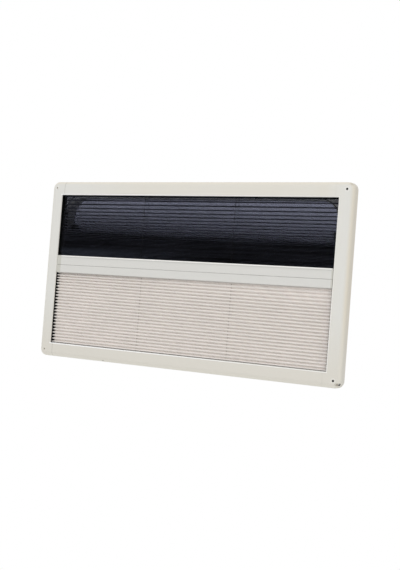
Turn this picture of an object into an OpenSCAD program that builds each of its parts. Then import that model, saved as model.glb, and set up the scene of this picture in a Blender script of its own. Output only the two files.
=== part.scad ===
// Caravan window with a built-in pleated flyscreen and blind, in millimetres.
// X runs along the window, Y from the room to the outside and Z up. The origin
// lies on the wall side of the inner frame, in the middle of its bottom rail.

/* [Wall opening] */
// Width of the cut-out in the wall
cutout_w = 900; // [760:10:1100]
// Height of the cut-out in the wall
cutout_h = 450; // [400:10:600]
// Corner radius of the cut-out
cutout_r = 60; // [30:5:80]
// Thickness of the wall that the window clamps
wall_t = 30; // [26:1:50]

/* [Inner frame] */
// Width of the rails and stiles, seen from the room
rail_w = 41; // [38:0.5:60]
// How far the frame stands out from the wall
frame_depth = 30; // [29:0.5:40]
// Thickness of the moulding
shell_t = 3; // [2:0.5:3.5]
// Radius of the frame's outer corners
corner_r = 20; // [18:1:35]
// Rounding of the outer edge towards the room
edge_r = 15; // [8:1:18]
// How far the lip stands back from each side of the cut-out
lip_side_gap = 2; // [1:0.5:4]
// How far the lip stands back from the cut-out's top and bottom
lip_top_gap = 0.5; // [0:0.5:4]
// Bevel round the lip
lip_bevel = 2; // [0.5:0.25:2]
// Length of rail that is moulded with each corner
corner_run = 50; // [45:1:80]
// Seam between a stile and a rail
seam_gap = 0.2; // [0.2:0.1:0.8]

/* [Frame screws] */
// Distance of the screw holes from the frame's outer edges
screw_inset = 19.5; // [18:0.5:20]
// Diameter of the screw holes
screw_d = 4.2; // [3:0.1:5]
// Diameter of the countersink
countersink_d = 7; // [6:0.25:8]
// Diameter of the boss behind each screw hole
boss_d = 9; // [8:0.5:10]

/* [Guides and channels] */
// How far the guides reach behind the stiles
guide_w = 14; // [12:0.5:16]
// Wall of the guides and channels
guide_t = 1.2; // [1:0.1:2]
// Height of the clips that hold the fabrics' fixed edges
clip_h = 2.5; // [2:0.5:4]
// Depth of the clips
clip_depth = 12; // [8:1:14]
// Thickness of the clamp ring behind the channels
ring_t = 3; // [2:0.5:5]

/* [Bars] */
// Height of the seam between the two bars above the window's middle
seam_height = 12.5; // [-20:0.5:20]
// Height of the flyscreen's bar
screen_bar_h = 28.5; // [24:0.5:36]
// Height of the blind's bar
blind_bar_h = 23; // [22:0.5:36]
// Gap between the bars where they meet
bar_gap = 0.3; // [0.3:0.1:1]
// How far the bars stand back from the front of the lip
bar_inset = 1.5; // [0.5:0.5:2.5]
// Depth of the bars
bar_depth = 23; // [18:0.5:24]
// Rounding of the bars' front edges
bar_edge_r = 1.5; // [1:0.5:4]
// Wall of the bars
bar_wall = 1.5; // [1:0.25:2.5]
// Distance of the grip groove below the top edge of the flyscreen's bar
groove_drop = 8; // [6:0.5:14]
// Width of the grip groove
groove_w = 0.8; // [0.5:0.1:2]
// Depth of the grip groove
groove_depth = 0.6; // [0.3:0.1:0.8]
// Length of the left end caps that shows
left_cap_w = 14; // [3:0.5:20]
// Length of the right end caps that shows
right_cap_w = 4; // [3:0.5:20]
// Gap between an end cap and the lip
cap_gap = 1; // [0.5:0.25:2]
// How far an end cap's plug reaches into the bar
plug_len = 12; // [6:1:20]
// Clearance round the plug
plug_clear = 0.3; // [0.2:0.05:0.5]
// Clearance between an end cap's runner and the bottom of its guide
runner_clear = 2.8; // [2:0.2:4]
// Depth of the runner
runner_depth = 10; // [6:1:14]
// Height of the runner
runner_h = 18; // [10:1:20]

/* [Fabrics] */
// Depth of the flyscreen's front folds behind the lip
screen_front = 6; // [5.8:0.2:7]
// Depth of the flyscreen's pleats
pleat_depth = 16.6; // [14:0.2:16.8]
// Depth of the blind's front folds behind the lip
blind_front = 4.6; // [4.6:0.2:6]
// Thickness of the fabrics, measured straight through a fold
fold_t = 1.6; // [1.2:0.1:2]
// How far the flyscreen stops short of the left side of the lip
screen_left_gap = 6.5; // [1:0.5:8]
// How far the flyscreen stops short of the right side of the lip
screen_right_gap = 2; // [1:0.5:8]
// How far the blind stops short of the left side of the lip
blind_left_gap = 1; // [1:0.5:8]
// How far the blind stops short of the right side of the lip
blind_right_gap = 2; // [1:0.5:8]
// Gap between a fabric and the bar that pulls it
fabric_gap = 0.3; // [0.2:0.1:0.5]
// Number of the flyscreen's pleats that hang open
screen_open_pleats = 16; // [12:1:17]
// Height of the uppermost open pleat
screen_top_pitch = 14.2; // [12:0.2:14.4]
// Height of the lowest open pleat
screen_low_pitch = 4.6; // [4:0.2:5]
// Number of the flyscreen's pleats that lie almost closed above its bar
screen_shut_pleats = 15; // [10:1:18]
// Number of whole pleats in the blind, which ends on half a pleat
blind_pleats = 25; // [20:1:28]

/* [Cords] */
// Distance of the cords from the window's middle
cord_x = 149; // [100:1:250]
// Diameter of the cords
cord_d = 1.2; // [0.8:0.1:1.2]
// Gap between a cord and the folds that it passes
cord_gap = 0.3; // [0.2:0.1:0.4]
// Depth of the blind's cords behind the lip
blind_cord_depth = 16.3; // [10:0.1:18]
// Diameter of the cord holes in the blind
cord_hole_d = 2.4; // [2:0.1:4]

/* [Wall liner] */
// Clearance between the liner and the cut-out
liner_clear = 1; // [0.5:0.25:2]
// Thickness of the liner
liner_t = 3; // [2:0.5:5]
// How far the outer flange covers the wall round the cut-out
flange_w = 20; // [15:1:24]
// Thickness of the outer flange
flange_t = 3; // [2:0.5:5]

/* [Pane] */
// How far the pane reaches past the cut-out
pane_reach = 15; // [12:1:19]
// Thickness of the inner pane
inner_pane_t = 3; // [2:0.5:4]
// Air gap between the panes
pane_air = 6; // [4:0.5:12]
// Thickness of the outer pane
outer_pane_t = 4; // [3.5:0.5:6]
// Rounding of the outer pane's edge
pane_edge_r = 3; // [1:0.5:3]
// Width of the rim that joins the panes
rim_w = 12; // [8:1:16]
// Thickness of the pane's seal
seal_t = 4; // [3:0.5:6]
// Width of the pane's seal
seal_w = 8; // [5:0.5:10]
// How far the seal stands back from the liner
seal_back = 6; // [2:0.5:8]

/* [Hinge] */
// Radius of the bead on the fixed rail
bead_r = 3.5; // [3:0.25:4.5]
// Running clearance round the bead
bead_clear = 0.3; // [0.2:0.1:0.5]
// Wall of the hinge rails
hinge_t = 2.5; // [2:0.25:3.5]
// Height of the fixed rail's plate
hinge_plate_h = 17; // [15:0.5:17]
// Height of the leaf on the pane, below the bead
hinge_leaf_h = 28; // [24:1:40]

/* [Latches] */
// Distance between neighbouring latches
latch_pitch = 290; // [150:5:330]
// Width of a latch's base
latch_base_w = 34; // [24:1:40]
// Height of a latch's base
latch_base_h = 26; // [20:1:30]
// Thickness of a latch's base
latch_base_t = 6; // [4:0.5:8]
// Radius of a latch's post
latch_post_r = 7; // [5:0.5:9]
// Width of a latch's lever
lever_w = 16; // [14:1:20]
// Thickness of a latch's lever
lever_t = 6; // [4:0.5:8]
// Length of a latch's lever
lever_len = 58; // [50:1:70]
// Width of the catches on the liner
catch_w = 20; // [12:1:30]
// Height of the catches on the liner
catch_h = 12; // [8:1:14]
// Thickness of the catches on the liner
catch_t = 6; // [4:0.5:8]
// Gap between a lever and the liner or its catch
lever_gap = 0.3; // [0.2:0.1:1]

/* [Stays] */
// Outer diameter of a stay's tube
stay_tube_d = 10; // [8:0.5:12]
// Diameter of a stay's rod
stay_rod_d = 6; // [4:0.5:7]
// Length of a stay's tube
stay_tube_len = 210; // [150:5:220]
// Length of rod that shows
stay_rod_len = 70; // [30:5:100]
// Height of a stay's brackets
stay_bracket_h = 20; // [14:1:26]
// Gap between a stay's tube and the side of the liner
stay_side_gap = 7; // [3:0.5:10]

/* [Damage] */
// Diameter of the chipped hole near the bottom right corner
chip_d = 4.5; // [2:0.5:6]
// Turn of the chipped hole round the corner, downwards from the side
chip_turn = 30; // [10:1:80]
// Lean of the chipped hole towards the room
chip_lean = 28; // [0:1:60]

/* [Hidden] */
$fn = 64;
eps = 1;
lip_w = cutout_w + 2 * lip_side_gap;
lip_h = cutout_h + 2 * lip_top_gap;
outer_w = lip_w + 2 * rail_w;
outer_h = lip_h + 2 * rail_w;
centre_z = (lip_h + rail_w) / 2;
seam_x = outer_w / 2 - corner_run;
screw_x = outer_w / 2 - screw_inset;
screw_z = outer_h / 2 - screw_inset;

// Depths are counted from the front of the lip towards the outside.
channel_front = shell_t;
channel_back = frame_depth - ring_t;
channel_z = outer_h / 2 - edge_r;
stack_room = channel_z - lip_h / 2;
clip_z = channel_z - guide_t - clip_h;
clip_front = (channel_front + channel_back - clip_depth) / 2;

bar_back = bar_inset + bar_depth;
bar_w = lip_w - 2 * cap_gap;
screen_bar_z = seam_height + bar_gap / 2;
blind_bar_z = seam_height - bar_gap / 2 - blind_bar_h;
runner_x = lip_w / 2 + guide_w - guide_t - runner_clear;

pleat_back = screen_front + pleat_depth;
screen_sides = [-lip_w / 2 + screen_left_gap, lip_w / 2 - screen_right_gap];
blind_sides = [-lip_w / 2 + blind_left_gap, lip_w / 2 - blind_right_gap];
screen_low = screen_bar_z + screen_bar_h + fabric_gap;
screen_high = clip_z;
blind_high = blind_bar_z - fabric_gap;
blind_low = -clip_z;

front_cord_depth = screen_front - cord_gap - cord_d / 2;
rear_cord_depth = pleat_back + cord_gap + cord_d / 2;

liner_w = cutout_w - 2 * liner_clear;
liner_h = cutout_h - 2 * liner_clear;
liner_r = cutout_r - liner_clear;
hole_w = liner_w - 2 * liner_t;
hole_h = liner_h - 2 * liner_t;
hole_r = liner_r - liner_t;
outside = frame_depth + wall_t;
flange_face = outside + flange_t;
inner_pane_face = flange_face + seal_t;
rim_face = inner_pane_face + inner_pane_t;
outer_pane_face = rim_face + pane_air;
pane_face = outer_pane_face + outer_pane_t;
pane_w = cutout_w + 2 * pane_reach;
pane_h = cutout_h + 2 * pane_reach;
pane_r = cutout_r + pane_reach;
hinge_w = pane_w - 2 * pane_r;
hinge_low = cutout_h / 2 + flange_w + bead_clear;
claw_r = bead_r + bead_clear + hinge_t;
bead_z = hinge_low + claw_r;
bead_depth = outside + hinge_t + claw_r;
latch_face = inner_pane_face - latch_base_t;
lever_face = frame_depth + wall_t / 2 - catch_t - lever_gap;
lever_low = -hole_h / 2 + lever_gap;

// Puts a shape drawn about the middle of the lip in its place.
module in_window() {
    translate([0, -frame_depth, centre_z]) children();
}

// Runs a section, drawn as depth and height, along the window.
module along(x0, x1) {
    translate([x0, 0, 0])
        rotate([90, 0, 90])
            linear_extrude(x1 - x0) children();
}

// Runs an outline, drawn as width and height, from one depth to another.
module through(d0, d1) {
    translate([0, d1, 0])
        rotate([90, 0, 0])
            linear_extrude(d1 - d0) children();
}

module rounded_outline(w, h, r) {
    square([w - 2 * r, h], center = true);
    square([w, h - 2 * r], center = true);
    for (sx = [-1, 1], sz = [-1, 1])
        translate([sx * (w / 2 - r), sz * (h / 2 - r)]) circle(r);
}

module ring_outline(w, h, r, band) {
    difference() {
        rounded_outline(w, h, r);
        rounded_outline(w - 2 * band, h - 2 * band, r - band);
    }
}

// Section of a slab, drawn as width and depth, with both front edges rounded.
module front_rounded(span, r, d0, d1) {
    translate([-span / 2, d0 + r]) square([span, d1 - d0 - r]);
    translate([-span / 2 + r, d0]) square([span - 2 * r, r]);
    for (s = [-1, 1])
        intersection() {
            translate([s * (span / 2 - r), d0 + r]) circle(r);
            translate([-span / 2, d0]) square([span, r]);
        }
}

// The same section as depth and height.
module bar_section(h, r, d0, d1) {
    mirror([1, -1]) front_rounded(h, r, d0, d1);
}

// Slab with round corners, its outer edge rounded towards the front.
module cushion_slab(w, h, corner, edge, d0, d1) {
    along(-w / 2 + corner, w / 2 - corner) bar_section(h, edge, d0, d1);
    translate([0, 0, -h / 2 + corner])
        linear_extrude(h - 2 * corner) front_rounded(w, edge, d0, d1);
    for (sx = [-1, 1], sz = [-1, 1])
        translate([sx * (w / 2 - corner), 0, sz * (h / 2 - corner)])
            rotate([-90, 0, 0])
                rotate_extrude()
                    intersection() {
                        front_rounded(2 * corner, edge, d0, d1);
                        square([corner, d1]);
                    }
}

module bevelled_opening() {
    slope = frame_depth + 2 * eps;
    cube_size = [lip_w, slope, lip_h];
    translate([-lip_w / 2, -eps, -lip_h / 2]) cube(cube_size);
    intersection() {
        along(-outer_w / 2, outer_w / 2)
            polygon([[-eps, -lip_h / 2 - lip_bevel - eps], [lip_bevel, -lip_h / 2],
                [lip_bevel, lip_h / 2], [-eps, lip_h / 2 + lip_bevel + eps]]);
        translate([0, 0, -outer_h / 2])
            linear_extrude(outer_h)
                polygon([[-lip_w / 2 - lip_bevel - eps, -eps], [-lip_w / 2, lip_bevel],
                    [lip_w / 2, lip_bevel], [lip_w / 2 + lip_bevel + eps, -eps]]);
    }
}

module at_screws() {
    for (sx = [-1, 1], sz = [-1, 1])
        translate([sx * screw_x, 0, sz * screw_z])
            rotate([-90, 0, 0]) children();
}

// The whole inner frame as one moulding, before it is parted at the seams.
module inner_frame() {
    sink = (countersink_d - screw_d) / 2;
    difference() {
        union() {
            difference() {
                cushion_slab(outer_w, outer_h, corner_r, edge_r, 0, frame_depth);
                cushion_slab(outer_w - 2 * shell_t, outer_h - 2 * shell_t,
                    corner_r - shell_t, edge_r - shell_t, shell_t, frame_depth + eps);
            }
            at_screws()
                translate([0, 0, shell_t / 2])
                    cylinder(d = boss_d, h = frame_depth - shell_t / 2);
        }
        bevelled_opening();
        at_screws() {
            translate([0, 0, -eps]) cylinder(d = screw_d, h = frame_depth + 2 * eps);
            cylinder(d1 = countersink_d, d2 = screw_d, h = sink);
        }
    }
}

module chipped_hole() {
    translate([outer_w / 2 - corner_r, 0, -outer_h / 2 + corner_r])
        rotate([0, chip_turn, 0])
            translate([corner_r - edge_r, edge_r, 0])
                rotate([0, 0, -chip_lean])
                    rotate([0, 90, 0])
                        translate([0, 0, edge_r - shell_t - eps])
                            cylinder(d = chip_d, h = shell_t + 2 * eps);
}

module stile(side) {
    reach = corner_run - seam_gap / 2;
    intersection() {
        inner_frame();
        translate([side > 0 ? outer_w / 2 - reach : -outer_w / 2 - eps, -eps, -outer_h / 2 - eps])
            cube([reach + eps, frame_depth + 2 * eps, outer_h + 2 * eps]);
    }
}

module left_stile() {
    color("#dcdbd4") in_window() stile(-1);
}

module right_stile() {
    color("#dcdbd4") in_window()
        difference() {
            stile(1);
            chipped_hole();
        }
}

module rail(side) {
    half = seam_x - seam_gap / 2;
    intersection() {
        inner_frame();
        translate([-half, -eps, side > 0 ? 0 : -outer_h / 2 - eps])
            cube([2 * half, frame_depth + 2 * eps, outer_h / 2 + eps]);
    }
}

module top_rail() {
    color("#dcdbd4") in_window() rail(1);
}

module bottom_rail() {
    color("#dcdbd4") in_window() rail(-1);
}

// Guide behind the right stile, open towards the middle of the window.
module guide() {
    depth = channel_back - channel_front;
    translate([lip_w / 2, channel_front, -channel_z])
        difference() {
            cube([guide_w, depth, 2 * channel_z]);
            translate([-eps, guide_t, -eps])
                cube([guide_w - guide_t + eps, depth - 2 * guide_t, 2 * (channel_z + eps)]);
        }
}

module left_guide() {
    color("#1b1b1d") in_window() mirror([1, 0, 0]) guide();
}

module right_guide() {
    color("#1b1b1d") in_window() guide();
}

// Channel behind the top rail, open downwards.
module channel() {
    along(-lip_w / 2, lip_w / 2)
        difference() {
            translate([channel_front, lip_h / 2])
                square([channel_back - channel_front, stack_room]);
            translate([channel_front + guide_t, lip_h / 2 - eps])
                square([channel_back - channel_front - 2 * guide_t, stack_room - guide_t + eps]);
        }
}

module head_channel() {
    color("#1b1b1d") in_window() channel();
}

module sill_channel() {
    color("#1b1b1d") in_window() mirror([0, 0, 1]) channel();
}

// Flat ring that screws to the wall and holds the end of the liner.
module clamp_ring() {
    ring_w = lip_w + 2 * guide_w;
    ring_h = 2 * channel_z;
    color("#bcbdc1") in_window()
        through(channel_back, frame_depth)
            difference() {
                rounded_outline(ring_w, ring_h, guide_t);
                rounded_outline(liner_w, liner_h, liner_r);
            }
}

module clip(sides) {
    along(sides[0], sides[1])
        translate([clip_front, clip_z]) square([clip_depth, clip_h]);
}

module screen_clip() {
    color("#2a2a2c") in_window() clip(screen_sides);
}

module blind_clip() {
    color("#2a2a2c") in_window() mirror([0, 0, 1]) clip(blind_sides);
}

// Pleated sheet through the given fold heights, the first of which is a front fold.
module pleated(sides, front, heights) {
    last = len(heights) - 1;
    room_side = [for (i = [0:last])
        [i % 2 == 0 ? front : pleat_back - fold_t, heights[i]]];
    far_side = [for (i = [last:-1:0])
        [i % 2 == 0 ? front + fold_t : pleat_back, heights[i]]];
    along(sides[0], sides[1]) polygon(concat(room_side, far_side));
}

// Drop of the flyscreen after a number of open pleats, whose height shrinks evenly.
function open_drop(pleats) =
    let (shrink = (screen_top_pitch - screen_low_pitch) / screen_open_pleats)
    pleats * screen_top_pitch - shrink * pleats * pleats / 2;

module flyscreen() {
    open_low = screen_high - open_drop(screen_open_pleats);
    shut_pitch = (open_low - screen_low) / screen_shut_pleats;
    open_heights = [for (i = [0:2 * screen_open_pleats]) screen_high - open_drop(i / 2)];
    shut_heights = [for (i = [1:2 * screen_shut_pleats]) open_low - i * shut_pitch / 2];
    heights = concat(open_heights, shut_heights);
    color("#34343c") in_window() pleated(screen_sides, screen_front, heights);
}

module blind() {
    facets = 2 * blind_pleats + 1;
    facet_h = (blind_high - blind_low) / facets;
    heights = [for (i = [0:facets]) blind_high - i * facet_h];
    color("#cfc5bf") in_window()
        difference() {
            pleated(blind_sides, blind_front, heights);
            for (s = [-1, 1])
                translate([s * cord_x, blind_cord_depth, blind_low - eps])
                    cylinder(d = cord_hole_d, h = blind_high - blind_low + 2 * eps);
        }
}

module screen_cords(side) {
    for (depth = [front_cord_depth, rear_cord_depth])
        translate([side * cord_x, depth, screen_low])
            cylinder(d = cord_d, h = channel_z - guide_t - screen_low);
}

module left_screen_cords() {
    color("#2c2c2e") in_window() screen_cords(-1);
}

module right_screen_cords() {
    color("#2c2c2e") in_window() screen_cords(1);
}

module blind_cord(side) {
    translate([side * cord_x, blind_cord_depth, blind_low])
        cylinder(d = cord_d, h = blind_high - blind_low);
}

module left_blind_cord() {
    color("#6e6863") in_window() blind_cord(-1);
}

module right_blind_cord() {
    color("#6e6863") in_window() blind_cord(1);
}

// Section of a bar's outside, or of its hollow with a margin inside the wall.
module bar_outline(h, margin = 0) {
    translate([0, h / 2])
        bar_section(h - 2 * margin, max(bar_edge_r - margin, 0.5),
            bar_inset + margin, bar_back - margin);
}

module bar_tube(h) {
    along(-bar_w / 2 + left_cap_w, bar_w / 2 - right_cap_w)
        difference() {
            bar_outline(h);
            bar_outline(h, bar_wall);
        }
}

// End cap of a bar on the right, with a plug in the bar and a runner in the guide.
module bar_cap(h, shown) {
    middle = (bar_inset + bar_back) / 2;
    tube_end = bar_w / 2 - shown;
    along(tube_end, bar_w / 2) bar_outline(h);
    along(tube_end - plug_len, tube_end) bar_outline(h, bar_wall + plug_clear);
    translate([bar_w / 2, middle - runner_depth / 2, (h - runner_h) / 2])
        cube([runner_x - bar_w / 2, runner_depth, runner_h]);
}

module at_screen_bar() {
    in_window() translate([0, 0, screen_bar_z]) children();
}

module at_blind_bar() {
    in_window() translate([0, 0, blind_bar_z]) children();
}

module screen_bar() {
    color("#dedcd6") at_screen_bar()
        difference() {
            bar_tube(screen_bar_h);
            along(-bar_w / 2, bar_w / 2)
                translate([bar_inset - eps, screen_bar_h - groove_drop])
                    square([groove_depth + eps, groove_w]);
        }
}

module screen_bar_left_cap() {
    color("#cdc9c1") at_screen_bar() mirror([1, 0, 0]) bar_cap(screen_bar_h, left_cap_w);
}

module screen_bar_right_cap() {
    color("#cdc9c1") at_screen_bar() bar_cap(screen_bar_h, right_cap_w);
}

module blind_bar() {
    color("#dedcd6") at_blind_bar() bar_tube(blind_bar_h);
}

module blind_bar_left_cap() {
    color("#cdc9c1") at_blind_bar() mirror([1, 0, 0]) bar_cap(blind_bar_h, left_cap_w);
}

module blind_bar_right_cap() {
    color("#cdc9c1") at_blind_bar() bar_cap(blind_bar_h, right_cap_w);
}

// Sleeve from the clamp ring to the flange, with the catches that hold the latches.
module wall_liner() {
    color("#cacbcf") in_window() {
        through(channel_back, flange_face) ring_outline(liner_w, liner_h, liner_r, liner_t);
        for (s = [-1:1])
            translate([s * latch_pitch - catch_w / 2, lever_face + lever_gap, -hole_h / 2 - liner_t / 2])
                cube([catch_w, catch_t, catch_h + liner_t / 2]);
    }
}

module outer_flange() {
    color("#202022") in_window()
        through(outside, flange_face)
            difference() {
                rounded_outline(cutout_w + 2 * flange_w, cutout_h + 2 * flange_w, cutout_r + flange_w);
                rounded_outline(liner_w, liner_h, liner_r);
            }
}

module pane_seal() {
    reach = seal_back + seal_w;
    color("#131314") in_window()
        through(flange_face, inner_pane_face)
            ring_outline(hole_w + 2 * reach, hole_h + 2 * reach, hole_r + reach, seal_w);
}

module inner_pane() {
    color("#55606a", 0.5) in_window()
        through(inner_pane_face, rim_face) rounded_outline(pane_w, pane_h, pane_r);
}

module pane_rim() {
    color("#1c1f22") in_window()
        through(rim_face, outer_pane_face) ring_outline(pane_w, pane_h, pane_r, rim_w);
}

module outer_pane() {
    color("#3c444b", 0.6) in_window()
        translate([0, outer_pane_face + pane_face, 0])
            mirror([0, 1, 0])
                cushion_slab(pane_w, pane_h, pane_r, pane_edge_r, outer_pane_face, pane_face);
}

// Rail screwed to the wall above the flange, with the bead that the pane hangs on.
module fixed_hinge_rail() {
    color("#8d8f92") in_window()
        along(-hinge_w / 2, hinge_w / 2) {
            translate([outside, hinge_low]) square([hinge_t, hinge_plate_h]);
            translate([outside, bead_z - hinge_t / 2]) square([bead_depth - outside, hinge_t]);
            translate([bead_depth, bead_z]) circle(bead_r);
        }
}

// Rail on the pane, with the claw round the bead.
module pane_hinge_rail() {
    mouth = hinge_t + 2 * bead_clear;
    color("#8d8f92") in_window()
        along(-hinge_w / 2, hinge_w / 2) {
            difference() {
                union() {
                    translate([bead_depth, bead_z]) circle(claw_r);
                    translate([bead_depth, bead_z - hinge_t / 2])
                        square([pane_face + hinge_t - bead_depth, hinge_t]);
                }
                translate([bead_depth, bead_z]) circle(bead_r + bead_clear);
                translate([outside, bead_z - mouth / 2]) square([bead_depth - outside, mouth]);
            }
            translate([pane_face, bead_z - hinge_leaf_h]) square([hinge_t, hinge_leaf_h + hinge_t / 2]);
        }
}

// Latch on the inner pane, its lever turned down over the catch.
module latch(x) {
    lever_r = lever_w / 2;
    post_z = lever_low + lever_len - latch_base_h / 2;
    in_window() translate([x, 0, 0]) {
        translate([-latch_base_w / 2, latch_face, post_z - latch_base_h / 2])
            cube([latch_base_w, latch_base_t, latch_base_h]);
        translate([0, lever_face - lever_t / 2, post_z])
            rotate([-90, 0, 0])
                cylinder(r = latch_post_r, h = latch_face - lever_face + lever_t);
        through(lever_face - lever_t, lever_face) {
            translate([-lever_r, lever_low]) square([lever_w, lever_len - lever_r]);
            translate([0, lever_low + lever_len - lever_r]) circle(lever_r);
        }
    }
}

module left_latch() {
    color("#26282a") latch(-latch_pitch);
}

module middle_latch() {
    color("#26282a") latch(0);
}

module right_latch() {
    color("#26282a") latch(latch_pitch);
}

// Telescopic stay on the right, folded along the side of the liner.
module stay() {
    length = stay_tube_len + stay_rod_len;
    tube_x = hole_w / 2 - stay_side_gap - stay_tube_d / 2;
    tube_depth = frame_depth + wall_t / 2;
    translate([tube_x, tube_depth, -length / 2]) {
        cylinder(d = stay_tube_d, h = stay_tube_len);
        cylinder(d = stay_rod_d, h = length);
        translate([0, -stay_tube_d / 2, 0])
            cube([hole_w / 2 - tube_x, stay_tube_d, stay_bracket_h]);
        translate([-stay_tube_d / 2, -stay_tube_d / 2, length - stay_bracket_h])
            cube([stay_tube_d, inner_pane_face - tube_depth + stay_tube_d / 2, stay_bracket_h]);
    }
}

module left_stay() {
    color("#2b2d2f") in_window() mirror([1, 0, 0]) stay();
}

module right_stay() {
    color("#2b2d2f") in_window() stay();
}

left_stile();
right_stile();
top_rail();
bottom_rail();
left_guide();
right_guide();
head_channel();
sill_channel();
clamp_ring();
screen_clip();
blind_clip();
flyscreen();
blind();
left_screen_cords();
right_screen_cords();
left_blind_cord();
right_blind_cord();
screen_bar();
screen_bar_left_cap();
screen_bar_right_cap();
blind_bar();
blind_bar_left_cap();
blind_bar_right_cap();
wall_liner();
outer_flange();
pane_seal();
inner_pane();
pane_rim();
outer_pane();
fixed_hinge_rail();
pane_hinge_rail();
left_latch();
middle_latch();
right_latch();
left_stay();
right_stay();
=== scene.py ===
import math

import bpy
import numpy as np
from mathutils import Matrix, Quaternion, Vector


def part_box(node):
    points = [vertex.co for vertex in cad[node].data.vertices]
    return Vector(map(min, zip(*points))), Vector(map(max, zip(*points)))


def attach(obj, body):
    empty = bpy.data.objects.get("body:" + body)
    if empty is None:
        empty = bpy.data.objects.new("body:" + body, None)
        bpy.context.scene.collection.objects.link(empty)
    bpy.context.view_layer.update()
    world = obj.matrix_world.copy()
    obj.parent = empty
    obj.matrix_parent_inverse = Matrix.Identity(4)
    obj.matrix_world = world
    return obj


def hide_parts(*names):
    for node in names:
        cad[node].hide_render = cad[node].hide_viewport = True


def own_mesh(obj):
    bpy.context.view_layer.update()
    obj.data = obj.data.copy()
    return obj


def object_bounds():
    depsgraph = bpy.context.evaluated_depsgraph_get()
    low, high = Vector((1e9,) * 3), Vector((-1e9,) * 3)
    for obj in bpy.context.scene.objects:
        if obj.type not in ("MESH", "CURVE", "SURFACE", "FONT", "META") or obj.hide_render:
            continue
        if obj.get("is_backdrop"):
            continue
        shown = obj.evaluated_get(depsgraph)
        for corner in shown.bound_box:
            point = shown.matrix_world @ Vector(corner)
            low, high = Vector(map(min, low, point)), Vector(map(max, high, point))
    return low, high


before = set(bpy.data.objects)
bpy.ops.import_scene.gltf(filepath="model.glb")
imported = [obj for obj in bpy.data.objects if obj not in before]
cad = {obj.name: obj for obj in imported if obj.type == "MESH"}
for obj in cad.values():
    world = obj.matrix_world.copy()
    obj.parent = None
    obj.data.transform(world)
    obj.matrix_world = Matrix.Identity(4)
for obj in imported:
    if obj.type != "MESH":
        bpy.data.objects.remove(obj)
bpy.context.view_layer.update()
MM = 0.001


# Camera. It stands in the room, right of the window and a little below its
# middle, and is tipped by a few degrees, so both long edges run downhill.
window_low, window_high = (Vector(corner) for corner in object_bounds())
window_middle = (window_low + window_high) / 2

camera_data = bpy.data.cameras.new("room_camera")
camera_data.sensor_width = 36.0
camera_data.lens = 60.63
camera = bpy.data.objects.new("room_camera", camera_data)
bpy.context.collection.objects.link(camera)
camera_place = Vector((1.4060, -2.3333, 0.1547))
camera_aim = Vector((0.0590, -0.0300, 0.2228))
camera_tip = math.radians(4.45)
camera.location = camera_place
camera.rotation_mode = "QUATERNION"
facing = (camera_aim - camera_place).to_track_quat("-Z", "Y")
camera.rotation_quaternion = facing @ Quaternion((0, 0, 1), camera_tip)
bpy.context.scene.camera = camera
bpy.context.scene.view_settings.view_transform = "Standard"


# Studio. A pale floor lies far below the window, which hangs at the height of a
# caravan's wall. White surroundings give an even light, and two soft lamps add to
# it, one from the room in front of the window and a weak one from above.
def linear(hex_colour):
    """sRGB hex to linear RGBA."""
    parts = [int(hex_colour[i:i + 2], 16) / 255 for i in (1, 3, 5)]
    return [c / 12.92 if c <= 0.04045 else ((c + 0.055) / 1.055) ** 2.4 for c in parts] + [1.0]


def add_node(tree, kind, inputs=None, **settings):
    """A node with its settings, and a link or a value for each input that is named."""
    node = tree.nodes.new("ShaderNode" + kind)
    for name, value in settings.items():
        setattr(node, name, value)
    for socket, value in (inputs or {}).items():
        if isinstance(value, bpy.types.NodeSocket):
            tree.links.new(value, node.inputs[socket])
        else:
            node.inputs[socket].default_value = value
    return node


def looked_at(tree):
    """1 for a ray from the camera, through glass or off a gloss, and 0 for one that lights."""
    rays = add_node(tree, "LightPath").outputs
    through = add_node(tree, "Math", {0: rays["Is Camera Ray"], 1: rays["Is Transmission Ray"]},
                       operation="MAXIMUM").outputs[0]
    return add_node(tree, "Math", {0: through, 1: rays["Is Glossy Ray"]},
                    operation="MAXIMUM").outputs[0]


world = bpy.data.worlds.new("white_room")
world.use_nodes = True
bpy.context.scene.world = world
air = world.node_tree
air.nodes.clear()
pure_white = linear("#ffffff")
room_level = 0.62
level = add_node(air, "MapRange", {0: looked_at(air), 3: room_level, 4: 1.0}).outputs[0]
white = add_node(air, "Background", {"Color": pure_white, "Strength": level})
add_node(air, "OutputWorld", {"Surface": white.outputs[0]})


def add_lamp(name, place, size, power):
    """A round soft lamp, aimed at the window, that no gloss or glass shows."""
    lamp_data = bpy.data.lights.new(name, "AREA")
    lamp_data.shape = "DISK"
    lamp_data.size = size
    lamp_data.energy = power
    lamp = bpy.data.objects.new(name, lamp_data)
    lamp.location = place
    lamp.rotation_mode = "QUATERNION"
    lamp.rotation_quaternion = (window_middle - Vector(place)).to_track_quat("-Z", "Y")
    lamp.visible_glossy = False
    lamp.visible_transmission = False
    bpy.context.collection.objects.link(lamp)


add_lamp("room_lamp", place=(0.8, -5.0, 1.0), size=2.6, power=67.0)
add_lamp("ceiling_lamp", place=(-0.2, -1.6, 2.8), size=1.6, power=8.0)

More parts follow.
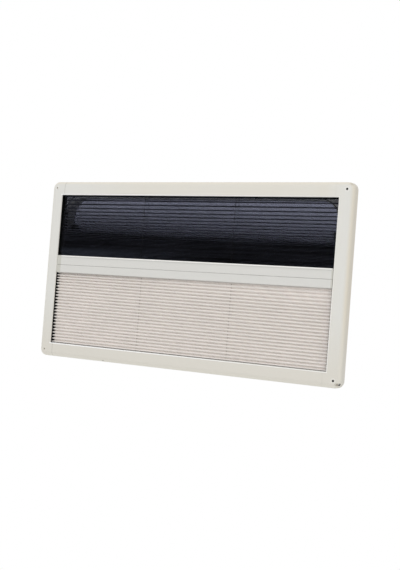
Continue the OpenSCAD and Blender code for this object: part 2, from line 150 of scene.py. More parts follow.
floor_drop = 1.2
floor_half = 60.0
floor_z = window_low.z - floor_drop
floor_mesh = bpy.data.meshes.new("studio_floor")
floor_mesh.from_pydata([(-floor_half, -floor_half, floor_z), (floor_half, -floor_half, floor_z),
                        (floor_half, floor_half, floor_z), (-floor_half, floor_half, floor_z)],
                       [], [(0, 1, 2, 3)])
studio_floor = bpy.data.objects.new("studio_floor", floor_mesh)
bpy.context.collection.objects.link(studio_floor)
studio_floor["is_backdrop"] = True

# Pale matt paint, which looks pure white where the camera sees it.
pale = bpy.data.materials.new("pale_studio_floor")
pale.use_nodes = True
tree = pale.node_tree
tree.nodes.clear()
matt = add_node(tree, "BsdfDiffuse", {"Color": linear("#f4f4f2")})
glow = add_node(tree, "Emission", {"Color": pure_white, "Strength": 1.0})
mixed = add_node(tree, "MixShader", {0: looked_at(tree), 1: matt.outputs[0], 2: glow.outputs[0]})
add_node(tree, "OutputMaterial", {"Surface": mixed.outputs[0]})
floor_mesh.materials.append(pale)


# Inner frame. Two stiles with the corners and two rails, moulded in cream ABS and screwed to the wall.
# The open screw holes, the chipped hole at the bottom right and the smear beside it are wear that the
# old frame shows; the holes' dark insides are painted shade.
def new_material(name, **values):
    """A material, its tree, its Principled surface, and the place on the piece in metres."""
    material = bpy.data.materials.new(name)
    material.use_nodes = True
    tree = material.node_tree
    tree.nodes.clear()
    surface = add_node(tree, "BsdfPrincipled",
                       {key.replace("_", " "): value for key, value in values.items()})
    add_node(tree, "OutputMaterial", {"Surface": surface.outputs[0]})
    place = add_node(tree, "TexCoord").outputs["Object"]
    return material, tree, surface, place


def mottling(tree, place, size, stretch=(1.0, 1.0, 1.0), detail=3.0, spread=()):
    """Unevenness in patches about size metres wide, drawn out along an axis by stretch.

    spread gives the levels that become 0 and 1, and after them any other two shares.
    """
    scaled = add_node(tree, "Mapping", {"Vector": place, "Scale": [1.0 / s for s in stretch]})
    patches = add_node(tree, "TexNoise", {"Vector": scaled.outputs[0], "Scale": 1.0 / size,
                                          "Detail": detail}).outputs[0]
    if not spread:
        return patches
    return add_node(tree, "MapRange", {0: patches, **dict(enumerate(spread, 1))}).outputs[0]


def fade(tree, place, axis, start, end, low=0.0, high=1.0):
    """A share that goes from low to high between two places along an axis."""
    along = add_node(tree, "SeparateXYZ", {0: place}).outputs[axis]
    return add_node(tree, "MapRange", {0: along, 1: start, 2: end, 3: low, 4: high}).outputs[0]


def past_sides(tree, place, axis, middle, half):
    """Distance in metres past two sides, each half away from the middle of an axis."""
    distance = add_node(tree, "SeparateXYZ", {0: place}).outputs[axis]
    for operation, number in (("SUBTRACT", middle), ("ABSOLUTE", 0.0), ("SUBTRACT", half)):
        distance = add_node(tree, "Math", {0: distance, 1: number}, operation=operation).outputs[0]
    return distance


def spot(tree, place, centre, reach):
    """1 in the inner third of a spot and 0 from reach metres away, which may differ by axis."""
    inner = 0.3
    shifted = add_node(tree, "VectorMath", {0: place, 1: centre}, operation="SUBTRACT").outputs[0]
    scaled = add_node(tree, "VectorMath", {0: shifted, 1: reach}, operation="DIVIDE").outputs[0]
    away = add_node(tree, "VectorMath", {0: scaled}, operation="LENGTH").outputs["Value"]
    return add_node(tree, "MapRange", {0: away, 1: inner, 2: 1.0, 3: 1.0, 4: 0.0}).outputs[0]


def laid_over(tree, base, cover, *shares):
    """The base colour with the cover's colour over it where all the shares meet."""
    share = shares[0]
    for other in shares[1:]:
        share = add_node(tree, "Math", {0: share, 1: other}, operation="MULTIPLY").outputs[0]
    base, cover = (linear(c) if isinstance(c, str) else c for c in (base, cover))
    return add_node(tree, "Mix", {0: share, 6: base, 7: cover}, data_type="RGBA").outputs[2]


def finish(tree, surface, colour, grain=None, strength=0.0, depth=0.0):
    """Gives the surface its colour, and a grain that stands up by some of its depth."""
    tree.links.new(colour, surface.inputs["Base Color"])
    if grain is not None:
        raised = add_node(tree, "Bump", {"Height": grain, "Strength": strength, "Distance": depth})
        tree.links.new(raised.outputs[0], surface.inputs["Normal"])


def dress(material, *names):
    """Puts the material on the solids of the CAD nodes."""
    for name in names:
        for held in cad[name].material_slots:
            held.material = material


# Moulded ABS: an even satin skin with a fine eroded grain, drawn at 1.2 mm, a few times its true size.
# The rails have yellowed more than the stiles, but for their left ends, and the foot more than the
# head. The rounding towards the wall is painted yellower and paler: real yellowing, and painted light
# against its shade.
abs_cream, tree, surface, place = new_material("moulded_cream_ABS", Roughness=0.42, IOR=1.54)
frame_low, frame_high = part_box("right_stile")
room_face, stile_start = frame_low[1], frame_low[0]
moulded_grain, cloud_size = 1.2 * MM, 70 * MM
rounding_start, rounding_end = 0.5 * MM, 5 * MM
seam_blur = 30 * MM
yellow_start, yellow_end = -400 * MM, -150 * MM
foot_start, foot_end = 170 * MM, 10 * MM
on_rails = add_node(tree, "MapRange", {0: past_sides(tree, place, "X", 0.0, stile_start),
                                       1: seam_blur, 2: -seam_blur}).outputs[0]
yellowed = laid_over(tree, "#e2e1dc", "#e1ddd3", on_rails,
                     fade(tree, place, "X", yellow_start, yellow_end),
                     mottling(tree, place, cloud_size, spread=(0.3, 0.7, 0.75, 1.0)))
at_foot = fade(tree, place, "Z", foot_start, foot_end)
face_colour = laid_over(tree, yellowed, "#dedad1", at_foot)
# The rounding's colour is paler than the face: painted light that lifts its shade, with real
# yellowing.
side_colour = laid_over(tree, "#ece5d6", "#ece8dd", at_foot)
moulded = laid_over(tree, face_colour, side_colour,
                    fade(tree, place, "Y", room_face + rounding_start, room_face + rounding_end))

# Dirt has settled in the seams between the left stile and the rails. The bevel of the lip has a
# painted highlight along the rails and the right stile, brightest at the left.
seam_edge, seam_core, seam_share = 1.0 * MM, 0.5 * MM, 0.6
from_seam = past_sides(tree, place, "X", -stile_start, 0.0)
seam = add_node(tree, "MapRange", {0: from_seam, 1: seam_edge, 2: seam_core,
                                   3: 0.0, 4: seam_share}).outputs[0]
moulded = laid_over(tree, moulded, "#a9a69c", seam)
rail_w = 41 * MM         # from the frame's outer edge to the lip
bevel_end, bevel_blur = 3.4 * MM, 0.6 * MM
corner_blur = 1.0 * MM
right_start, right_end = 0.0, 10 * MM
highlight_start, highlight_end = 300 * MM, -300 * MM
frame_middle_z = (frame_low[2] + frame_high[2]) / 2
beside_lip = past_sides(tree, place, "X", 0.0, frame_high[0] - rail_w)
above_lip = past_sides(tree, place, "Z", frame_middle_z, frame_high[2] - frame_middle_z - rail_w)
off_lip = add_node(tree, "Math", {0: beside_lip, 1: above_lip}, operation="MAXIMUM").outputs[0]
on_bevel = add_node(tree, "MapRange", {0: off_lip, 1: bevel_end,
                                       2: bevel_end - bevel_blur}).outputs[0]
along_rail = add_node(tree, "MapRange", {0: above_lip, 1: -corner_blur, 2: 0.0}).outputs[0]
at_right = fade(tree, place, "X", right_start, right_end)
highlighted_sides = add_node(tree, "Math", {0: along_rail, 1: at_right}, operation="MAXIMUM").outputs[0]
# Painted highlight on the lip's bevel, whiter towards the left.
bevel_highlight = laid_over(tree, "#f3f2ed", "#ffffff", fade(tree, place, "X", highlight_start, highlight_end))
moulded = laid_over(tree, moulded, bevel_highlight, on_bevel, highlighted_sides)

# A smear lies beside the chipped hole, and a faint darker patch is painted near the upper right
# corner. The open holes and the chipped hole are painted dark inside as shade, and a pale rim is
# painted round the right holes. A dark speck sits on the bottom edge.
chip_place = (frame_high[0] - 4.2 * MM, room_face + 8.0 * MM, frame_low[2] + 10.9 * MM)
chip_reach = (4.2 * MM, 4.2 * MM, 4.2 * MM)
smear_place = (chip_place[0] - 5 * MM, chip_place[1] - 4 * MM, chip_place[2] - 0.5 * MM)
smear_reach, smear_patch = (8 * MM, 12 * MM, 5 * MM), 4 * MM
dark_patch_place = (frame_high[0] - 9.9 * MM, room_face + 6.7 * MM, frame_high[2] - 5.7 * MM)
dark_patch_reach, dark_patch_share = (8 * MM, 10 * MM, 6 * MM), 0.3
speck_place = (-253.8 * MM, room_face + 5.2 * MM, frame_low[2] + 3.7 * MM)
speck_reach = (2.2 * MM, 2.2 * MM, 2.2 * MM)
screw_inset, screw_depth = 19.5 * MM, 4 * MM      # from the outer edge and the room face
hole_shade_reach = {"left": (2.0 * MM, 11 * MM, 2.0 * MM), "right": (4.0 * MM, 11 * MM, 4.0 * MM)}
rim_reach, rim_share = (9 * MM, 30 * MM, 9 * MM), 0.6
marked_colour = laid_over(tree, moulded, "#a0988a", spot(tree, place, smear_place, smear_reach),
                    mottling(tree, place, smear_patch, spread=(0.25, 0.5)))
# A faint darker patch is painted near the upper right corner.
marked_colour = laid_over(tree, marked_colour, "#a0988a", spot(tree, place, dark_patch_place, dark_patch_reach),
                    dark_patch_share)
# Painted shade darkens the chipped hole and the open screw holes; the speck is a real mark.
shade_and_speck = spot(tree, place, chip_place, chip_reach)
marks = [spot(tree, place, speck_place, speck_reach)]
for side, sign in (("left", -1), ("right", 1)):
    for z in (frame_low[2] + screw_inset, frame_high[2] - screw_inset):
        hole_place = (sign * (frame_high[0] - screw_inset), room_face + screw_depth, z)
        if side == "right":
            # A pale rim is painted round each right hole.
            marked_colour = laid_over(tree, marked_colour, "#efeee8",
                                spot(tree, place, hole_place, rim_reach), rim_share)
        marks.append(spot(tree, place, hole_place, hole_shade_reach[side]))
for mark in marks:
    shade_and_speck = add_node(tree, "Math", {0: shade_and_speck, 1: mark}, operation="MAXIMUM").outputs[0]
dark_edge, dark_core = 0.1, 0.35
shade_and_speck_share = add_node(tree, "MapRange", {0: shade_and_speck, 1: dark_edge, 2: dark_core}).outputs[0]
finish(tree, surface, laid_over(tree, marked_colour, "#14120f", shade_and_speck_share),
       mottling(tree, place, moulded_grain), strength=0.12, depth=0.1 * MM)
dress(abs_cream, "left_stile", "right_stile", "top_rail", "bottom_rail")


# Guides and channels. Black PVC extrusions behind the frame's lip: the bars run
# in the guides, and the cloths fold away into the channels, where two clips of the
# same PVC hold their ends.
black_profiles = ("left_guide", "right_guide", "head_channel", "sill_channel", "screen_clip",
                  "blind_clip")

# Extruded PVC: a dull black with faint drag lines along X, here 1.5 mm wide, and dust.
pvc_black, tree, surface, place = new_material("extruded_black_PVC", Roughness=0.55, IOR=1.53)
dust_patch, drag_line = 25 * MM, 1.5 * MM
finish(tree, surface,
       laid_over(tree, "#141416", "#1f1f21", mottling(tree, place, dust_patch, spread=(0.4, 0.75))),
       mottling(tree, place, drag_line, stretch=(20.0, 1.0, 1.0)), strength=0.1, depth=0.1 * MM)
dress(pvc_black, *black_profiles)


def fold_path(fold_places, fold_r):
    """Points along a pleated section as (y, z), with every fold turned on a small radius."""
    blunting = 0.35
    path = []
    for i, (y, z) in enumerate(fold_places):
        here = Vector((y, z))
        if i in (0, len(fold_places) - 1):
            path.append(here)
            continue
        before = (Vector(fold_places[i - 1]) - here).normalized()
        after = (Vector(fold_places[i + 1]) - here).normalized()
        path += [here + fold_r * before, here + blunting * fold_r * (before + after) / 2,
                 here + fold_r * after]
    return path


def cut_for_holes(path, hole_half, hole_depth):
    """The path with a point more at each edge of the hole in every facet."""
    end_share = 0.02
    cut = []
    for a, b in zip(path, path[1:]):
        cut.append(a)
        edges = [hole_depth - hole_half, hole_depth + hole_half]
        if b[0] < a[0]:
            edges.reverse()
        for y in edges:
            share = (y - a[0]) / (b[0] - a[0]) if abs(b[0] - a[0]) > hole_half else -1
            if end_share < share < 1 - end_share:
                cut.append(a + share * (b - a))
    return cut + [path[-1]]


def pleated_cloth(name, fold_places, x_places, thickness, fold_r, hole_half=None, hole_depth=0.0,
                  hole_x=(), wander=0.0, fan=0.0, seed=1):
    """A closed thin sheet along X through a pleated section, with its UV map in metres.

    Its folds wander a little, and run downhill to the right by fan at each side.
    """
    base = fold_path(fold_places, fold_r)
    if hole_half is not None:
        base = cut_for_holes(base, hole_half, hole_depth)
    base = np.array([tuple(p) for p in base])
    step = np.diff(base, axis=0)
    along = np.concatenate([[0.0], np.cumsum(np.hypot(step[:, 0], step[:, 1]))])
    slope = np.gradient(base, axis=0)
    slope /= np.linalg.norm(slope, axis=1)[:, None]
    normal = np.stack([-slope[:, 1], slope[:, 0]], axis=1)

    # Six waves, each with its radians a metre across, its start and its radians a metre down.
    rng = np.random.default_rng(seed)
    waves = [(rng.uniform(2.0, 9.0), rng.uniform(0, 6.283), rng.uniform(20.0, 90.0)) for _ in range(6)]
    xs = np.array(x_places)
    n_x, n_s = len(xs), len(base)
    grid_z = np.zeros((n_x, n_s))
    for across, phase, down in waves:
        grid_z += np.sin(xs[:, None] * across + along[None, :] * down + phase)
    held_length, fan_length = 0.02, 0.15
    ease = np.minimum(1.0, np.minimum(along, along[-1] - along) / held_length)
    grid_z *= wander / len(waves) * ease[None, :]
    fan_start = np.minimum(1.0, along / fan_length)
    grid_z -= fan * (xs[:, None] / xs.max()) * ((1 - along / along[-1]) * fan_start)[None, :]

    verts = np.zeros((2, n_x, n_s, 3))
    for side, sign in ((0, 1.0), (1, -1.0)):
        verts[side, :, :, 0] = xs[:, None]
        verts[side, :, :, 1] = base[None, :, 0] + sign * normal[None, :, 0] * thickness / 2
        verts[side, :, :, 2] = base[None, :, 1] + sign * normal[None, :, 1] * thickness / 2 + grid_z
    index = np.arange(2 * n_x * n_s).reshape(2, n_x, n_s)

    def is_hole(i, j):
        if hole_half is None:
            return False
        mid_x, mid_y = (xs[i] + xs[i + 1]) / 2, (base[j][0] + base[j + 1][0]) / 2
        just_inside = 0.99 * hole_half
        return (abs(mid_y - hole_depth) < just_inside
                and any(abs(mid_x - x) < hole_half for x in hole_x))

    solid = np.array([[not is_hole(i, j) for j in range(n_s - 1)] for i in range(n_x - 1)])
    faces = []
    for i in range(n_x - 1):
        for j in range(n_s - 1):
            if not solid[i, j]:
                continue
            for side in (0, 1):
                ring = [index[side, i, j], index[side, i + 1, j],
                        index[side, i + 1, j + 1], index[side, i, j + 1]]
                faces.append(ring if side else ring[::-1])
            edges = (((i, j), (i, j + 1), i == 0 or not solid[i - 1, j]),
                     ((i + 1, j + 1), (i + 1, j), i == n_x - 2 or not solid[i + 1, j]),
                     ((i + 1, j), (i, j), j == 0 or not solid[i, j - 1]),
                     ((i, j + 1), (i + 1, j + 1), j == n_s - 2 or not solid[i, j + 1]))
            for a, b, is_rim in edges:
                if is_rim:
                    faces.append([index[0][a], index[0][b], index[1][b], index[1][a]])
    mesh = bpy.data.meshes.new(name)
    mesh.from_pydata(verts.reshape(-1, 3).tolist(), [], [[int(v) for v in f] for f in faces])
    flat = np.zeros((2, n_x, n_s, 2))
    flat[:, :, :, 0] = xs[None, :, None]
    flat[:, :, :, 1] = along[None, None, :]
    flat = flat.reshape(-1, 2)
    layer = mesh.uv_layers.new(name="cloth")
    corner_vertex = np.zeros(len(mesh.loops), dtype=np.int32)
    mesh.loops.foreach_get("vertex_index", corner_vertex)
    layer.data.foreach_set("uv", flat[corner_vertex].ravel())
    mesh.update()
    cloth = bpy.data.objects.new(name, mesh)
    bpy.context.collection.objects.link(cloth)
    return cloth, float(along[-1])


screen_low, screen_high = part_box("flyscreen")
open_pleats, shut_pleats = 16, 15
top_pitch, low_pitch = 14.2 * MM, 4.6 * MM
net_t = 0.3 * MM
fold_r = 0.5 * MM
screen_drop = screen_high[2] - screen_low[2]
pitch_loss = (top_pitch - low_pitch) / open_pleats
open_drop = open_pleats * (top_pitch + low_pitch) / 2
shut_pitch = (screen_drop - open_drop) / shut_pleats
screen_folds = []
for half_pleat in range(2 * (open_pleats + shut_pleats) + 1):
    pleats = half_pleat / 2
    drop = pleats * top_pitch - pitch_loss * pleats * pleats / 2
    if pleats > open_pleats:
        drop = open_drop + (pleats - open_pleats) * shut_pitch
    depth = screen_high[1] - fold_r if half_pleat % 2 else screen_low[1] + fold_r
    screen_folds.append((depth, screen_high[2] - drop))
screen_columns = 61
screen_x = np.linspace(screen_low[0], screen_high[0], screen_columns)
flyscreen_net, net_drop = pleated_cloth("flyscreen_net", screen_folds, screen_x, net_t, fold_r,
                                        wander=0.06 * MM, seed=3)

# Coated netting: black threads, a fifth of their 1.6 mm pitch thick, with clear
# openings between them. Where a pleat is seen at a slant the threads across the line
# of sight close up, so the pleats look grey and dark by turns. The square root shares
# the see-through between the sheet's two faces.
net, tree, surface, place = new_material("coated_glass_fibre_netting", Roughness=0.8, IOR=1.5,
                                         Specular_IOR_Level=0.12)
flat = add_node(tree, "UVMap", uv_map="cloth").outputs[0]
threads = add_node(tree, "SeparateXYZ", {0: flat}).outputs
thread_pitch, thread_share = 1.6 * MM, 0.22      # about what real insect mesh has
turned_away = add_node(tree, "LayerWeight", {"Blend": 0.5}).outputs["Facing"]
slant = add_node(tree, "Math", {0: 1.0, 1: turned_away}, operation="SUBTRACT").outputs[0]
closed = add_node(tree, "Math", {0: thread_share, 1: slant}, operation="DIVIDE").outputs[0]
clear = add_node(tree, "Math", {0: 1.0, 1: closed}, operation="SUBTRACT", use_clamp=True).outputs[0]
for operation, number in (("MULTIPLY", 1 - thread_share), ("POWER", 0.5)):
    clear = add_node(tree, "Math", {0: clear, 1: number}, operation=operation).outputs[0]
waves = []
for axis in ("X", "Y"):
    turn = add_node(tree, "Math", {0: threads[axis], 1: 2 * math.pi / thread_pitch},
                    operation="MULTIPLY").outputs[0]
    wave = add_node(tree, "Math", {0: turn}, operation="SINE").outputs[0]
    waves.append(add_node(tree, "MapRange", {0: wave, 1: -1.0, 2: 1.0}).outputs[0])
crossing = add_node(tree, "Math", {0: waves[0], 1: waves[1]}, operation="MULTIPLY").outputs[0]
at_thread, at_opening = 0.7, 1.9
openings = add_node(tree, "MapRange", {0: crossing, 3: at_thread, 4: at_opening}).outputs[0]
shining = add_node(tree, "Math", {0: clear, 1: openings}, operation="MULTIPLY").outputs[0]
opaque = add_node(tree, "Math", {0: 1.0, 1: shining}, operation="SUBTRACT", use_clamp=True)
tree.links.new(opaque.outputs[0], surface.inputs["Alpha"])

# The coating is worn in long streaks, and dust has settled on the closed pleats at
# the left.
streak = 7 * MM
dust_start, dust_end = 50 * MM, -350 * MM
dust_top, dust_full = screen_low[2] + 30 * MM, screen_low[2] + 16 * MM
threads_black = laid_over(tree, "#1d1e23", "#42444f",
                          mottling(tree, place, streak, stretch=(40.0, 1.0, 1.0), spread=(0.35, 0.65)))
finish(tree, surface, laid_over(tree, threads_black, "#565b69",
                                fade(tree, place, "X", dust_start, dust_end),
                                fade(tree, place, "Z", dust_top, dust_full)))
flyscreen_net.data.materials.append(net)
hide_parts("flyscreen")
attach(flyscreen_net, "window")
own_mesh(flyscreen_net)


# Blind. Stiff polyester cloth, dyed a warm beige and pressed into even pleats,
# glued to its clip in the sill channel. A cord runs through a punched hole in
# every facet, at a third of the width from each side.
blind_low, blind_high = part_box("blind")
blind_facets = 51
blind_t = 0.35 * MM
blind_drop = blind_high[2] - blind_low[2]
cord_low, cord_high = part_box("right_blind_cord")
cord_x = (cord_low[0] + cord_high[0]) / 2
blind_cord_y = (cord_low[1] + cord_high[1]) / 2
hole_half = 0.9 * MM
seen_facets, facet_drop = 48, 4.6 * MM      # the last three lie in the sill channel
hidden_drop = blind_drop - seen_facets * facet_drop
blind_folds = []
for facet in range(blind_facets + 1):
    depth = blind_high[1] - fold_r if facet % 2 else blind_low[1] + fold_r
    drop = facet * facet_drop
    if facet > seen_facets:
        drop = blind_drop - (blind_facets - facet) * hidden_drop / (blind_facets - seen_facets)
    blind_folds.append((depth, blind_high[2] - drop))
edges_of_holes = [side * cord_x + edge * hole_half for side in (-1, 1) for edge in (-1, 1)]
blind_columns = 47
blind_x = sorted(list(np.linspace(blind_low[0], blind_high[0], blind_columns)) + edges_of_holes)
blind_cloth, cloth_drop = pleated_cloth("blind_cloth", blind_folds, blind_x, blind_t, fold_r,
                                        hole_half=hole_half, hole_depth=blind_cord_y,
                                        hole_x=(-cord_x, cord_x), wander=0.12 * MM,
                                        fan=5.5 * MM, seed=8)

# Pressed polyester: a dull cloth with a plain weave, drawn at 1.5 mm, about four times its true size,
# and a slight unevenness of the dye. Painted shade darkens the cloth just under the bar, where its
# first pleat is glued, and in the deep folds at its right edge.
polyester, tree, surface, place = new_material("pressed_beige_polyester", Roughness=0.88,
                                               IOR=1.46, Sheen_Weight=0.25)
flat = add_node(tree, "UVMap", uv_map="cloth").outputs[0]
dye_patch, weave_pitch = 40 * MM, 1.5 * MM
shadow_end, shadow_start, shadow_share = 3.0 * MM, 2.2 * MM, 0.65
edge_start, edge_end = 7 * MM, 3 * MM
fold_start, fold_end = 4 * MM, 10 * MM
dyed = laid_over(tree, "#faf5f1", "#fdf8f4", mottling(tree, place, dye_patch, spread=(0.3, 0.7)))
# Painted shadow of the bar along the cloth's top edge.
bar_shadow = fade(tree, place, "Z", blind_high[2] - shadow_end, blind_high[2] - shadow_start, 0.0, shadow_share)
at_edge = fade(tree, place, "X", blind_high[0] - edge_start, blind_high[0] - edge_end)
in_fold = fade(tree, place, "Y", blind_low[1] + fold_start, blind_low[1] + fold_end)
fold_shade = add_node(tree, "Math", {0: at_edge, 1: in_fold}, operation="MULTIPLY").outputs[0]
# Painted shade: the bar's shadow along the top and the shade in the deep folds by the right edge.
painted_shade = add_node(tree, "Math", {0: bar_shadow, 1: fold_shade}, operation="MAXIMUM").outputs[0]
wave_rate = 20      # radians that the wave texture runs over a length of 1 / Scale
wave_scale = 2 * math.pi / (wave_rate * weave_pitch)
ribs = [add_node(tree, "TexWave", {"Vector": flat, "Scale": wave_scale},
                 bands_direction=axis).outputs["Fac"] for axis in ("X", "Y")]
weave = add_node(tree, "Math", {0: ribs[0], 1: ribs[1]}, operation="ADD").outputs[0]
finish(tree, surface, laid_over(tree, dyed, "#a9a49f", painted_shade), weave,
       strength=0.15, depth=0.15 * MM)
blind_cloth.data.materials.append(polyester)
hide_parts("blind")
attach(blind_cloth, "window")
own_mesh(blind_cloth)


# Cords. Braided polyester, 1.2 mm thick, kept taut: two run in front of and
# behind the flyscreen at each place, and one through the blind.
def taut_cord(name, x, y, low, high, radius):
    """A round cord straight up from low to high, closed at both ends."""
    sides, steps = 10, 40
    turns = [2 * math.pi * k / sides for k in range(sides)]
    verts = [(x + radius * math.cos(a), y + radius * math.sin(a), low + (high - low) * s / steps)
             for s in range(steps + 1) for a in turns]
    faces = [(s * sides + k, s * sides + (k + 1) % sides, (s + 1) * sides + (k + 1) % sides,
              (s + 1) * sides + k) for s in range(steps) for k in range(sides)]
    faces.append(tuple(reversed(range(sides))))
    faces.append(tuple(range(steps * sides, (steps + 1) * sides)))
    mesh = bpy.data.meshes.new(name)
    mesh.from_pydata(verts, [], faces)
    mesh.shade_smooth()
    cord = bpy.data.objects.new(name, mesh)
    bpy.context.collection.objects.link(cord)
    return cord


# Braided polyester: slanting strands about 1 mm long, on a dark cord for the flyscreen
# and a grey one for the blind.
def braided_polyester(name, dark, light):
    """Braid of two shades, whose strands catch a dull light."""
    material, tree, surface, place = new_material(name, Roughness=0.8, IOR=1.46,
                                                  Specular_IOR_Level=0.2)
    strand_w = 0.6 * MM
    strands = mottling(tree, place, strand_w, stretch=(1.0, 1.0, 2.0))
    finish(tree, surface, laid_over(tree, dark, light, strands), strands,
           strength=0.4, depth=0.1 * MM)
    return material


dark_braid = braided_polyester("braided_dark_polyester", "#0c0c0d", "#1d1d1f")
grey_braid = braided_polyester("braided_grey_polyester", "#a39d97", "#c0bab3")

cord_r = (cord_high[0] - cord_low[0]) / 2
net_cord_low, net_cord_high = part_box("right_screen_cords")
front_cord_y = net_cord_low[1] + cord_r
rear_cord_y = net_cord_high[1] - cord_r
for side, sign in (("left", -1), ("right", 1)):
    for where, y in (("front", front_cord_y), ("rear", rear_cord_y)):
        cord = taut_cord(f"{side}_{where}_screen_cord", sign * cord_x, y,
                         net_cord_low[2], net_cord_high[2], cord_r)
        cord.data.materials.append(dark_braid)
        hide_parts(f"{side}_screen_cords")
        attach(cord, "window")
        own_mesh(cord)
    cord = taut_cord(f"{side}_blind_cord_braid", sign * cord_x, blind_cord_y,
                     cord_low[2], cord_high[2], cord_r)
    cord.data.materials.append(grey_braid)
    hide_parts(f"{side}_blind_cord")
    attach(cord, "window")
    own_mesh(cord)


# Bars. Two hollow aluminium extrusions, powder coated off-white, which meet
# where the cloths meet. The moulded end caps run in the guides.
pull_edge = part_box("screen_bar")[1][2]
grey_foot, grey_low, grey_high, grey_top = (pull_edge - down * MM for down in (7.0, 5.2, 4.0, 3.0))
bar_highlight_low, bar_highlight_high = pull_edge - 3.4 * MM, pull_edge - 2.6 * MM

# Powder coat: an even paint with a soft orange-peel, about 3 mm from crest to crest. The flyscreen
# bar's top edge has a painted highlight, with a grey line painted below it.
powder_coat, tree, surface, place = new_material("off_white_powder_coat", Roughness=0.38, IOR=1.5)
scuff, orange_peel = 12 * MM, 3 * MM
paint = laid_over(tree, "#d8d7d3", "#dddcd8", mottling(tree, place, scuff, stretch=(6.0, 1.0, 1.0)))
# A grey line is painted a little below the top edge.
paint = laid_over(tree, paint, "#c9c8c4",
                  fade(tree, place, "Z", grey_foot, grey_low),
                  fade(tree, place, "Z", grey_top, grey_high))
# Painted highlight along the flyscreen bar's top edge.
paint = laid_over(tree, paint, "#fbfaf6", fade(tree, place, "Z", bar_highlight_low, bar_highlight_high))
finish(tree, surface, paint, mottling(tree, place, orange_peel), strength=0.06, depth=0.2 * MM)
dress(powder_coat, "screen_bar", "blind_bar")

# Moulded ABS caps, a shade greyer than the frame, with the frame's grain.
abs_grey, tree, surface, place = new_material("moulded_grey_white_ABS", Roughness=0.5, IOR=1.54)
cap_patch = 8 * MM
finish(tree, surface, laid_over(tree, "#c8c7be", "#cecdc5", mottling(tree, place, cap_patch)),
       mottling(tree, place, moulded_grain), strength=0.12, depth=0.1 * MM)
dress(abs_grey, "screen_bar_left_cap", "screen_bar_right_cap", "blind_bar_left_cap",
      "blind_bar_right_cap")


# Clamp ring, wall liner and outer flange. The grey ring screws to the wall and holds
# the grey liner, which runs through the cut-out to a black flange outside. All three
# are moulded in polypropylene with a fine leather-like grain.
def grained_polypropylene(name, dark, light):
    """Polypropylene with grain cells 1.5 mm wide that catch a dull light, clouded by weather."""
    material, tree, surface, place = new_material(name, Roughness=0.5, IOR=1.49)
    cell_size = 1.5 * MM
    cells = add_node(tree, "TexVoronoi", {"Vector": place, "Scale": 1 / cell_size},
                     feature="SMOOTH_F1").outputs["Distance"]
    clouds = laid_over(tree, dark, light, mottling(tree, place, cloud_size))
    finish(tree, surface, clouds, cells, strength=0.25, depth=0.15 * MM)
    return material, tree, surface, place, clouds


def outside_liner(tree, place, low, high, corner_r):
    """Distance in metres outside the liner's rounded outline, which is negative inside it."""
    past = []
    for axis, middle, half in (("X", 0.0, high[0]),
                               ("Z", (low[2] + high[2]) / 2, (high[2] - low[2]) / 2)):
        beyond = past_sides(tree, place, axis, middle, half - corner_r)
        past.append(add_node(tree, "Math", {0: beyond, 1: 0.0}, operation="MAXIMUM").outputs[0])
    reach = add_node(tree, "CombineXYZ", {"X": past[0], "Y": past[1]}).outputs[0]
    length = add_node(tree, "VectorMath", {0: reach}, operation="LENGTH").outputs["Value"]
    return add_node(tree, "Math", {0: length, 1: corner_r}, operation="SUBTRACT").outputs[0]


# The liner's cut end towards the room is painted with a thin black line along its outer edge, which
# fades out to the left. Below the upper corners the whole end is painted black.
grey_pp, tree, surface, place, clouds = grained_polypropylene("grained_grey_polypropylene",
                                                              "#f4f5f9", "#fbfcff")
liner_low, liner_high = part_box("wall_liner")
liner_corner_r = 59 * MM      # outer corners, 1 mm inside those of the cut-out
corner_start, corner_end = window_high.z - 70 * MM, window_high.z - 90 * MM
left_end, right_end = -300 * MM, 300 * MM
line_inner, line_outer = -1.5 * MM, -0.9 * MM
end_back, end_front = liner_low[1] + 1.0 * MM, liner_low[1] + 0.5 * MM
beyond = outside_liner(tree, place, liner_low, liner_high, liner_corner_r)
at_outer_edge = add_node(tree, "MapRange", {0: beyond, 1: line_inner, 2: line_outer}).outputs[0]
line = add_node(tree, "Math", {0: at_outer_edge, 1: fade(tree, place, "X", left_end, right_end)},
                operation="MULTIPLY").outputs[0]
below_corner = fade(tree, place, "Z", corner_start, corner_end)
black_end_share = add_node(tree, "Math", {0: line, 1: below_corner}, operation="MAXIMUM").outputs[0]
on_cut_end = fade(tree, place, "Y", end_back, end_front)
tree.links.new(laid_over(tree, clouds, "#0b0b0c", black_end_share, on_cut_end), surface.inputs["Base Color"])
dress(grey_pp, "wall_liner")

# The ring is bluish grey, and painted paler to the right as painted light. It is painted dark below
# the upper corners, and a thin black line is painted round beside the liner, farther out at the left.
ring_pp, tree, surface, place, clouds = grained_polypropylene("clamp_ring_polypropylene",
                                                              "#c7c9d8", "#cfd1df")
line_out_left, line_out_right = 8.8 * MM, 0.0
line_edge, line_core = 1.6 * MM, 1.1 * MM
# Painted light: the ring is paler to the right.
paler = laid_over(tree, clouds, "#fafbff", fade(tree, place, "X", left_end, right_end))
marked_colour = laid_over(tree, paler, "#48494c", fade(tree, place, "Z", corner_start, corner_end))
beyond = outside_liner(tree, place, liner_low, liner_high, liner_corner_r)
line_place = fade(tree, place, "X", left_end, right_end, line_out_left, line_out_right)
off_line = add_node(tree, "Math", {0: beyond, 1: line_place}, operation="SUBTRACT").outputs[0]
off_line = add_node(tree, "Math", {0: off_line}, operation="ABSOLUTE").outputs[0]
line = add_node(tree, "MapRange", {0: off_line, 1: line_edge, 2: line_core}).outputs[0]
tree.links.new(laid_over(tree, marked_colour, "#0b0b0c", line), surface.inputs["Base Color"])
dress(ring_pp, "clamp_ring")

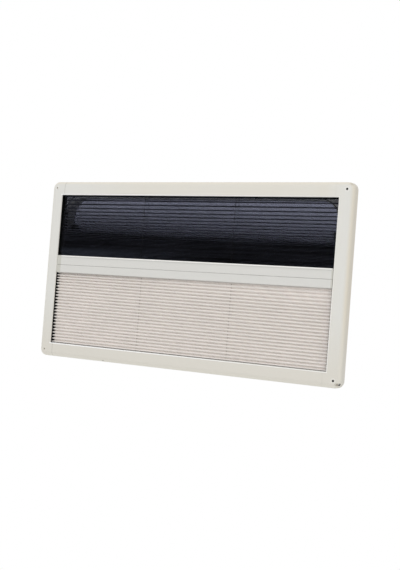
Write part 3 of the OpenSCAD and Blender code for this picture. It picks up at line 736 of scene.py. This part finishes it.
# The flange is black, with no painted line on its face.
black_pp = grained_polypropylene("grained_black_polypropylene", "#17181a", "#26272a")[0]
dress(black_pp, "outer_flange")


# Pane. Two sheets of dark tinted acrylic, bonded at a black rim, close on a
# rubber seal. From the room only a little light comes through.
darkening_start, darkening_end, least_darkening = 450 * MM, -250 * MM, 0.65
darkening_top, darkening_foot = window_high.z - 50 * MM, window_middle.z + 110 * MM
base_darkening_start, base_darkening_end, base_darkening_share = 300 * MM, 50 * MM, 0.22

# Cast acrylic: clear, very smooth, with a smoke grey tint in the sheet. The tint is painted darker
# towards the left and the foot, and a little darker over all but the right end.
acrylic, tree, surface, place = new_material("smoke_tinted_acrylic", Roughness=0.03, IOR=1.49,
                                             Transmission_Weight=1.0)
tint_patch = 300 * MM
smoke = laid_over(tree, "#cccedc", "#d2d4e2",
                  mottling(tree, place, tint_patch, detail=1.0, spread=(0.3, 0.7)))
leftwards = fade(tree, place, "X", darkening_start, darkening_end, least_darkening, 1.0)
downwards = fade(tree, place, "Z", darkening_top, darkening_foot)
darkening = add_node(tree, "Math", {0: leftwards, 1: downwards}, operation="MULTIPLY").outputs[0]
base_darkening = fade(tree, place, "X", base_darkening_start, base_darkening_end, 0.0, base_darkening_share)
darkening = add_node(tree, "Math", {0: darkening, 1: base_darkening}, operation="MAXIMUM").outputs[0]
finish(tree, surface, laid_over(tree, smoke, "#a3a5b2", darkening))
dress(acrylic, "inner_pane", "outer_pane")

# Bonding rim: black adhesive and paint behind the acrylic's edge.
rim_black, tree, surface, place = new_material("bonded_black_rim", Roughness=0.35, IOR=1.5)
paint_patch = 5 * MM
finish(tree, surface, laid_over(tree, "#0e0f10", "#18191b", mottling(tree, place, paint_patch)))
dress(rim_black, "pane_rim")

# EPDM rubber: a dull black extrusion with a faint bloom and a fine pitting.
rubber, tree, surface, place = new_material("extruded_EPDM_rubber", Roughness=0.75, IOR=1.52)
bloom_patch, pitting = 3 * MM, 1 * MM
finish(tree, surface, laid_over(tree, "#101011", "#1b1b1c", mottling(tree, place, bloom_patch)),
       mottling(tree, place, pitting), strength=0.2, depth=0.1 * MM)
dress(rubber, "pane_seal")


# Hinge rails. Two mill-finished aluminium extrusions along the top: one screwed
# to the wall with a bead, the other bonded to the pane with a claw round it.
hinge_rails = ("fixed_hinge_rail", "pane_hinge_rail")

# Extruded aluminium: fine bright streaks along the length, here 1 mm wide.
aluminium, tree, surface, place = new_material("extruded_mill_aluminium", Roughness=0.36,
                                               Metallic=1.0)
streak_w = 1 * MM
dark_streak, bright_streak, smoothest, roughest = 0.2, 0.8, 0.28, 0.44
streaks = mottling(tree, place, streak_w, stretch=(120.0, 1.0, 1.0))
gloss = add_node(tree, "MapRange", {0: streaks, 1: dark_streak, 2: bright_streak,
                                    3: smoothest, 4: roughest}).outputs[0]
tree.links.new(gloss, surface.inputs["Roughness"])
finish(tree, surface, laid_over(tree, "#a9abad", "#c4c6c8", streaks), streaks,
       strength=0.15, depth=0.05 * MM)
dress(aluminium, *hinge_rails)


# Latches and stays. Black glass-filled nylon levers that hook over the liner's
# catches, and telescopic stays folded along the sides of the liner.
fittings = ("left_latch", "middle_latch", "right_latch", "left_stay", "right_stay")

# Glass-filled nylon: a slightly mottled satin black.
nylon, tree, surface, place = new_material("moulded_black_nylon", Roughness=0.45, IOR=1.53)
fibre_patch = 2 * MM
mottle = mottling(tree, place, fibre_patch)
finish(tree, surface, laid_over(tree, "#1a1b1d", "#2a2b2e", mottle), mottle,
       strength=0.15, depth=0.1 * MM)
dress(nylon, *fittings)
